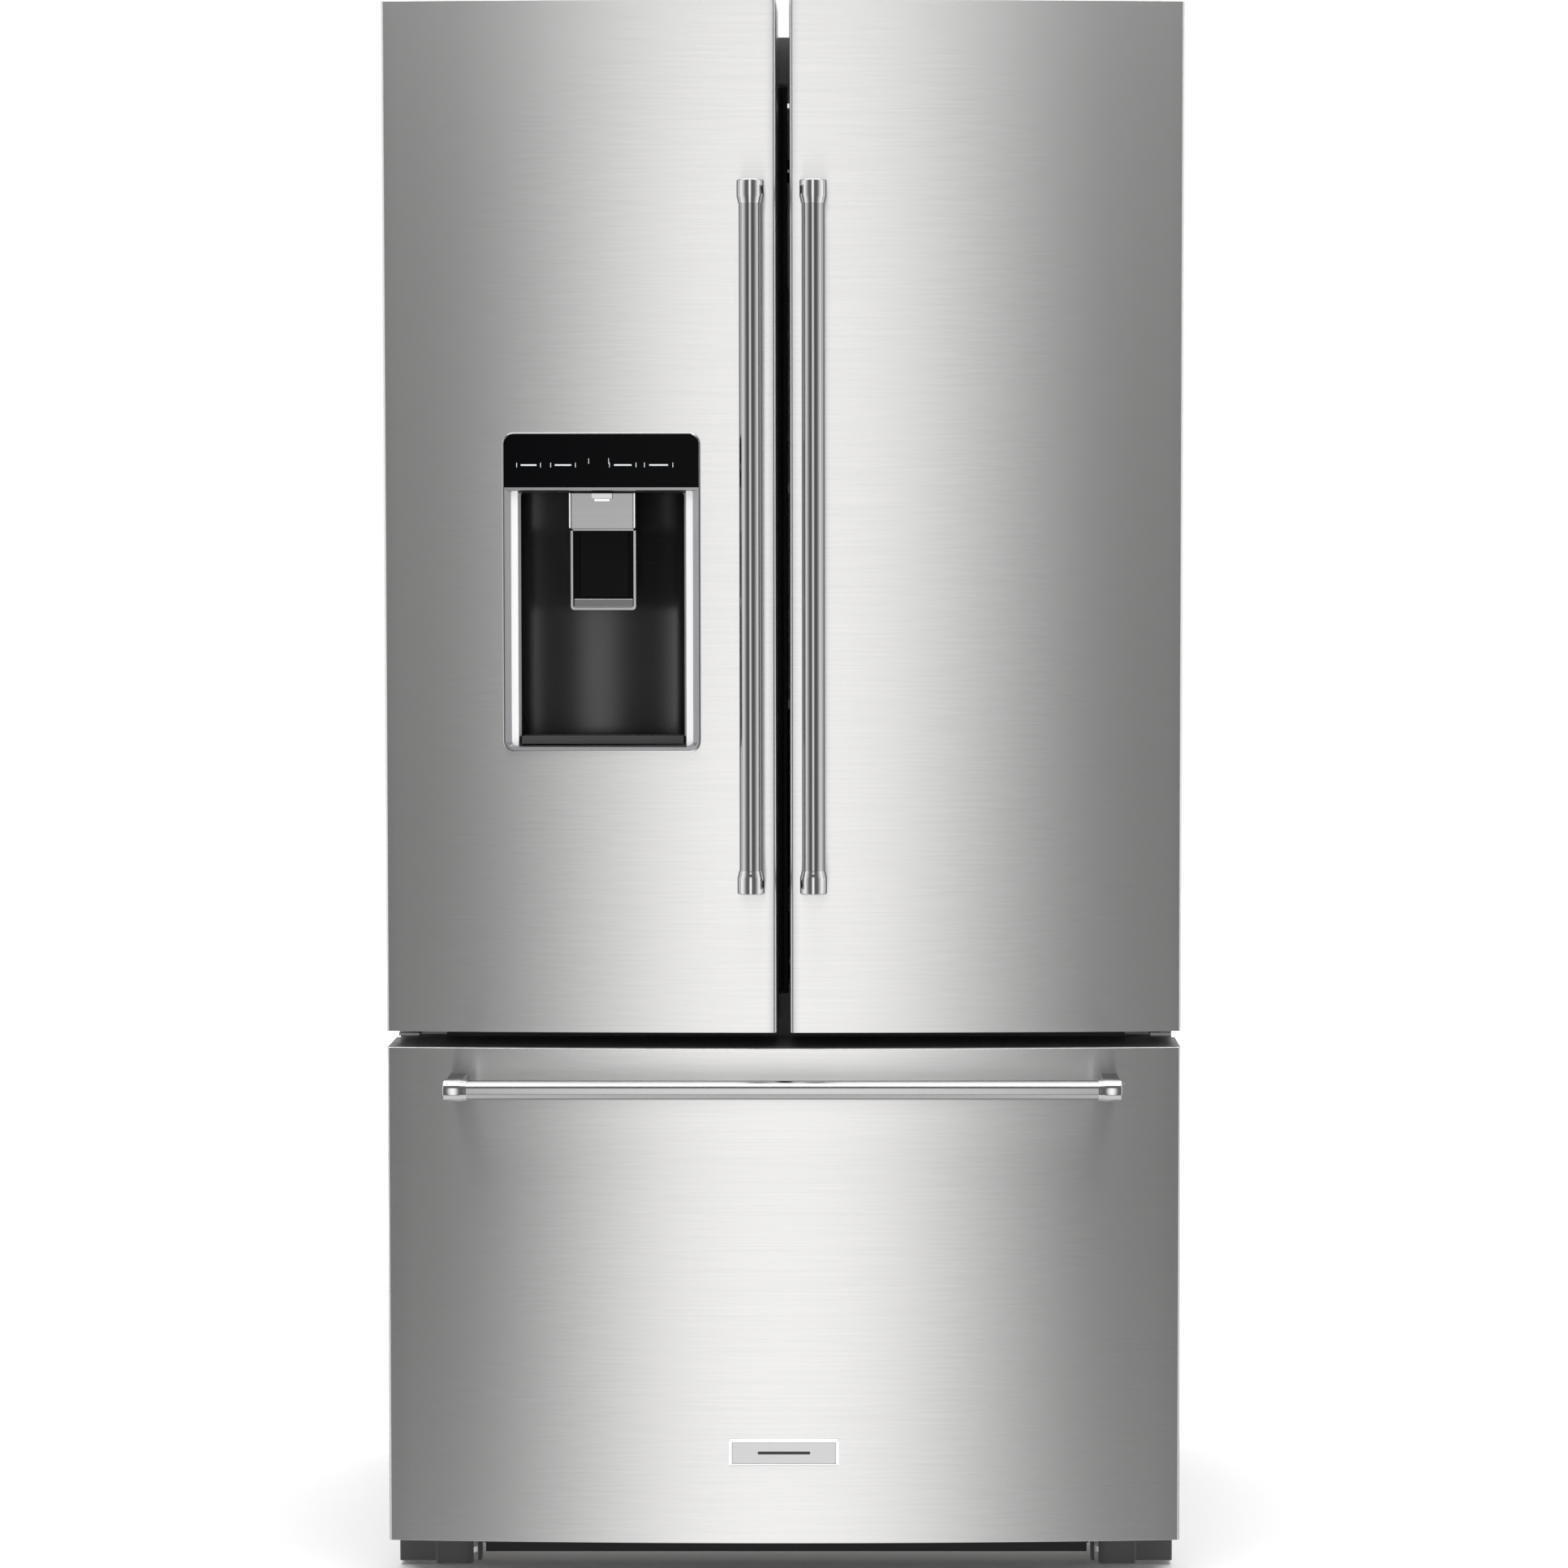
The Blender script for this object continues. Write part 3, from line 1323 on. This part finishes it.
def build_hinge_covers():
    for side, word in SIDES:
        outline = [(0.388, -0.204), (0.418, -0.208), (0.418, -0.25)]
        for i in range(9):
            a = math.pi + math.pi * i / 8
            outline.append((HINGE[0] + 0.0145 * math.cos(a), -0.262 + 0.0145 * math.sin(a)))
        outline += [
            (0.4465, -0.23), (0.4445, -0.22), (0.4445, -0.12), (0.44, -0.116), (0.392, -0.116), (0.388, -0.12)
        ]
        cover = prism(
            f"hinge_cover_{word}", [(side * px, py) for px, py in outline], (1.7732, 1.7935), "foot"
        )
        room = box("room", mirrored((0.39, 0.4425), side), (-0.202, -0.118), (1.76, 1.7905))
        nose = box("nose", span(side * HINGE[0], 0.0124), (-0.2744, -0.19), (1.76, 1.7904))
        cut(cover, room, nose)
        soften(cover, 0.0028, 3, 30)
        ride("cabinet", cover, slot="foot_grey")
        places = [(side * 0.416, -0.14, 1.7934)]
        ride("cabinet", screws(f"hinge_cover_screw_{word}", places, (0, 0, 1), 0.0045, 0.0016))
        softened(f"top_hinge_{word}", 0.0008, "zinc", "zinc_hardware")
        softened(f"mid_hinge_{word}", 0.0008, "zinc", "zinc_hardware")


def build_back():
    x, y, z = node_spans("back_panel")
    panel = softened("back_panel", 0.0005, "back_sheet", "zinc_hardware", 1)
    beads = []
    for px in (-0.3, -0.1, 0.1, 0.3):
        beads.append((span(px, 0.006), (y[1] - 0.0003, y[1] + 0.0016), shrink(z, 0.12)))
    for pz in shrink(z, 0.06):
        beads.append((span(0, 0.34), (y[1] - 0.0003, y[1] + 0.0016), span(pz, 0.006)))
    ride("cabinet", soften(boxes("back_beads", beads, "back_sheet"), 0.0012, 3))
    places = []
    for side in (-1, 1):
        for i in range(7):
            places.append((side * 0.436, y[1], z[0] + 0.05 + i * (z[1] - z[0] - 0.1) / 6))
    for i in range(4):
        places.append((-0.3 + i * 0.2, y[1], z[1] - 0.018))
    ride("cabinet", screws("back_screws", places, (0, 1, 0)))
    softened("machine_cover", 0.0006, "cover_sheet", "machine_cover", 1)
    low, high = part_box("machine_cover")
    places = [(px, 0.39, pz) for px in (-0.425, -0.15, 0.15, 0.425) for pz in (0.056, 0.326)]
    ride("cabinet", screws("machine_cover_screws", places, (0, 1, 0)))
    lips = []
    for column in (-0.27, 0.27):
        for row in range(9):
            zz = 0.095 + row * 0.024
            lips.append((span(column, 0.11), (0.388, 0.3922), (zz + 0.0078, zz + 0.0094)))
    ride("cabinet", soften(boxes("louvre_lips", lips, "cover_sheet"), 0.0006, 2))
    pins = boxes(
        "inlet_blades", [(span(px, 0.0032), (0.3905, 0.3946), span(0.14, 0.0008)) for px in (-0.008, 0.008)],
        "brass",
    )
    earth = rod("inlet_earth", (0, 0.3905, 0.1335), (0, 0.3946, 0.1335), 0.0024, "brass", 20)
    ride("cabinet", pins)
    ride("cabinet", earth)
    valve = turned(
        "water_inlet",
        [
            (0, 0.0048), (0.0055, 0.0048), (0.0055, 0.0012), (0.0105, 0.0012), (0.0115, 0.0002), (0.0115, 0),
            (0, 0),
        ],
        (-0.11, 0.39, 0.09), (0, 1, 0), "brass", 32,
    )
    collar = rounded_prism(
        "water_inlet_plate", span(-0.11, 0.02), (0.3899, 0.3908), (0.07, 0.11), 0.0003, "black"
    )
    ride("cabinet", valve)
    ride("cabinet", collar)


def build_machine_room():
    softened("compressor", 0.002, "black_metal", "black_metal", 3)
    ride(
        "cabinet",
        turned(
            "compressor_seam", [(0.066, 0.154), (0.0682, 0.155), (0.0682, 0.159), (0.066, 0.16)],
            (-0.27, 0.312, 0), (0, 0, 1), "black_metal", 48,
        ),
    )
    ride(
        "cabinet",
        soften(box("compressor_terminal", (-0.308, -0.25), (0.24, 0.26), (0.125, 0.175), "black"), 0.003),
    )
    ride(
        "cabinet",
        tube(
            "discharge_line",
            [
                (-0.181, 0.312, 0.15), (-0.15, 0.312, 0.15), (-0.12, 0.312, 0.17), (-0.09, 0.33, 0.25),
                (-0.06, 0.345, 0.3),
            ],
            0.0032, "copper",
        ),
    )
    softened("condenser", 0.0008, "black_metal", "zinc_hardware", 1)
    for fan in ("condenser_fan", "evaporator_fan"):
        softened(fan, 0.0005, "black" if fan.startswith("cond") else "fan_white", "black_plastic", 2)
    for word in ("left", "right"):
        softened(f"rear_roller_{word}", 0.0018, "black", "black_plastic", 3)
        low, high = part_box(f"rear_roller_{word}")
        middle = [(a + b) / 2 for a, b in zip(low, high)]
        ride(
            NODES[f"rear_roller_{word}"]["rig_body"],
            rod(
                f"roller_axle_{word}", (low[0] - 0.0016, middle[1], middle[2]),
                (high[0] + 0.0016, middle[1], middle[2]), 0.0042, "zinc", 24,
            ),
        )
        softened(f"leveling_leg_{word}", 0.0006, "zinc", "zinc_hardware")
        bracket = []
        for sx in (low[0] - 0.0042, high[0] + 0.0018):
            bracket.append(((sx, sx + 0.0022), span(0.34, 0.015), (0.011, 0.0399)))
        ride("cabinet", soften(boxes(f"roller_bracket_{word}", bracket, "zinc"), 0.0006, 2))


# ---------------------------------------------------------------- carried CAD nodes


def repaint_frame():
    softened("cabinet_shell", 0.0012, "cabinet", "cabinet_paint")
    low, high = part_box("base_grille")
    strip = boxes(
        "base_strip",
        [
            ((low[0], high[0]), (low[1] + 0.004, high[1]), (low[2] + 0.012, high[2])),
            ((low[0] + 0.002, high[0] - 0.002), (low[1] + 0.01, high[1]), (low[2], low[2] + 0.0125)),
        ],
        "black",
    )
    soften(strip, 0.0012)
    ride("cabinet", strip, slot="dark_grille", replaces=["base_grille"])
    softened("base_pan", 0.0005, "zinc", "zinc_hardware", 1)
    repaint("foam", "insulation_foam")


# ---------------------------------------------------------------- stage


def area_light(name, place, aim, size, power):
    light = bpy.data.lights.new(name, "AREA")
    light.shape = "RECTANGLE"
    light.size, light.size_y = size
    light.energy = power
    obj = bpy.data.objects.new(name, light)
    SCENE.collection.objects.link(obj)
    obj.location = place
    obj.rotation_euler = (Vector(aim) - Vector(place)).to_track_quat("-Z", "Y").to_euler()
    return obj


def radiance(size, value):
    """The power that gives an area light this radiance."""
    return value * math.pi * size[0] * size[1]


def card(name, corners, profile):
    """A glowing card that the camera doesn't see, brightest near its middle.

    profile is (fade start, fade end, centre value, edge value, middle X)."""
    m = Nodes(name)
    m.material.cycles.emission_sampling = "NONE"
    bm = bmesh.new()
    bm.faces.new([bm.verts.new(corner) for corner in corners])
    M[name] = m.material
    obj = add_object(name, bm, name, smooth=False)
    obj.visible_camera = False
    start, end, centre, edge, middle = profile
    place = m.add("ShaderNodeTexCoord")
    split = m.add("ShaderNodeSeparateXYZ")
    m.link(place.outputs["Object"], split.inputs["Vector"])
    shift = m.add("ShaderNodeMath", operation="SUBTRACT")
    shift.inputs[1].default_value = middle
    m.link(split.outputs["X"], shift.inputs[0])
    away = m.add("ShaderNodeMath", operation="ABSOLUTE")
    m.link(shift.outputs["Value"], away.inputs[0])
    fade = m.add("ShaderNodeMapRange", interpolation_type="SMOOTHSTEP")
    fade.inputs["From Min"].default_value = start
    fade.inputs["From Max"].default_value = end
    fade.inputs["To Min"].default_value = centre
    fade.inputs["To Max"].default_value = edge
    m.link(away.outputs["Value"], fade.inputs["Value"])
    m.set(color=(0, 0, 0), roughness=1.0)
    m.shader.inputs["Emission Color"].default_value = (1, 1, 1, 1)
    m.link(fade.outputs["Result"], m.shader.inputs["Emission Strength"])
    return obj


def studio_floor():
    """A wide white disc that glows towards its edge, so that only the shadow near the object shows."""
    m = Nodes("studio_floor")
    m.shade(m.noise(2.0), (0.9, 0.9, 0.9), 0.01)
    m.vary_roughness(m.noise(4.0), 0.75, 0.85)
    place = m.add("ShaderNodeTexCoord")
    length = m.add("ShaderNodeVectorMath", operation="LENGTH")
    m.link(place.outputs["Object"], length.inputs[0])
    fade = m.add("ShaderNodeMapRange", interpolation_type="SMOOTHSTEP")
    fade.inputs["From Min"].default_value = 0.7
    fade.inputs["From Max"].default_value = 2.2
    fade.inputs["To Min"].default_value = 0.0
    fade.inputs["To Max"].default_value = 1.0
    m.link(length.outputs["Value"], fade.inputs["Value"])
    m.shader.inputs["Emission Color"].default_value = (1, 1, 1, 1)
    m.link(fade.outputs["Result"], m.shader.inputs["Emission Strength"])
    m.material.cycles.emission_sampling = "NONE"
    M["floor"] = m.material
    floor = rod("studio_floor", (0, 0, -0.02), (0, 0, 0), 14.0, "floor", 96)
    floor.visible_glossy = False


def build_stage():
    studio_floor()
    world = bpy.data.worlds.new("studio_air")
    SCENE.world = world
    world.use_nodes = True
    tree = world.node_tree
    tree.nodes.clear()
    out = tree.nodes.new("ShaderNodeOutputWorld")
    seen = tree.nodes.new("ShaderNodeBackground")
    felt = tree.nodes.new("ShaderNodeBackground")
    mix = tree.nodes.new("ShaderNodeMixShader")
    path = tree.nodes.new("ShaderNodeLightPath")
    seen.inputs["Color"].default_value = (1, 1, 1, 1)
    felt.inputs["Color"].default_value = (0.2, 0.2, 0.2, 1)
    tree.links.new(path.outputs["Is Camera Ray"], mix.inputs["Fac"])
    tree.links.new(felt.outputs["Background"], mix.inputs[1])
    tree.links.new(seen.outputs["Background"], mix.inputs[2])
    tree.links.new(mix.outputs["Shader"], out.inputs["Surface"])
    y = -6.6
    front = [(-2.6, y, -5.0), (2.6, y, -5.0), (2.6, y, 3.9), (-2.6, y, 3.9)]
    card("front_card", front, (0.16, 1.74, 1.5, 0.17, -0.18))
    for side, word in SIDES:
        wing = [
            (side * 2.6, y, -4.0), (side * 8.0, y + 7.0, -4.0), (side * 8.0, y + 7.0, 4.6),
            (side * 2.6, y, 4.6),
        ]
        card(f"{word}_wing", wing, (3.4, 6.4, 0.17, 1.35, 0.0))
        tall = (1.5, 3.4)
        area_light(f"{word}_softbox", (side * 3.4, 1.3, 1.3), (0, 0.1, 1.0), tall, radiance(tall, 1.8))
    below = [(-3, -3.0, -2.2), (3, -3.0, -2.2), (3, 2.0, -2.2), (-3, 2.0, -2.2)]
    card("floor_card", below, (2.0, 3.0, 0.9, 0.6, 0.0))
    behind = (5.0, 3.4)
    area_light("back_softbox", (0.6, 4.2, 1.9), (0, 0.3, 0.9), behind, radiance(behind, 0.9))
    top = (6.0, 6.0)
    area_light("top_softbox", (0, 0, 4.4), (0, 0, 0), top, radiance(top, 3.4))


def build_camera():
    """A camera a little above the object's middle, tilted down and slid so that it frames the front."""
    data = bpy.data.cameras.new("camera")
    obj = bpy.data.objects.new("camera", data)
    SCENE.collection.objects.link(obj)
    obj.location = (0.105, -4.519, 1.2)
    obj.rotation_euler = (math.radians(90 - 2.5), 0, 0)
    data.sensor_width = 36.0
    data.lens = 85.073
    data.shift_x = -0.0587
    data.shift_y = -0.0558
    data.clip_end = 100.0
    SCENE.camera = obj


build_door(-1, "left")
build_door(1, "right")
build_drawer_front()
build_dispenser()
build_base()
build_liners()
for shelf in ("shelf_upper_left", "shelf_upper_right", "shelf_lower", "crisper_cover"):
    build_shelf(shelf)
build_drawer_box("crisper_left", 0.044)
build_drawer_box("crisper_right", 0.044)
build_drawer_box("pantry_drawer", 0.03)
build_crisper_controls()
build_air_tower()
build_bin("door_bin_left", "door_left")
for row in (1, 2, 3):
    build_bin(f"door_bin_right_{row}", "door_right")
build_ice_box()
build_door_inside(-1, "left")
build_door_inside(1, "right")
build_flap()
build_freezer()
build_hinge_covers()
build_back()
build_machine_room()
repaint_frame()
build_stage()
build_camera()
SCENE.view_settings.view_transform = "Standard"
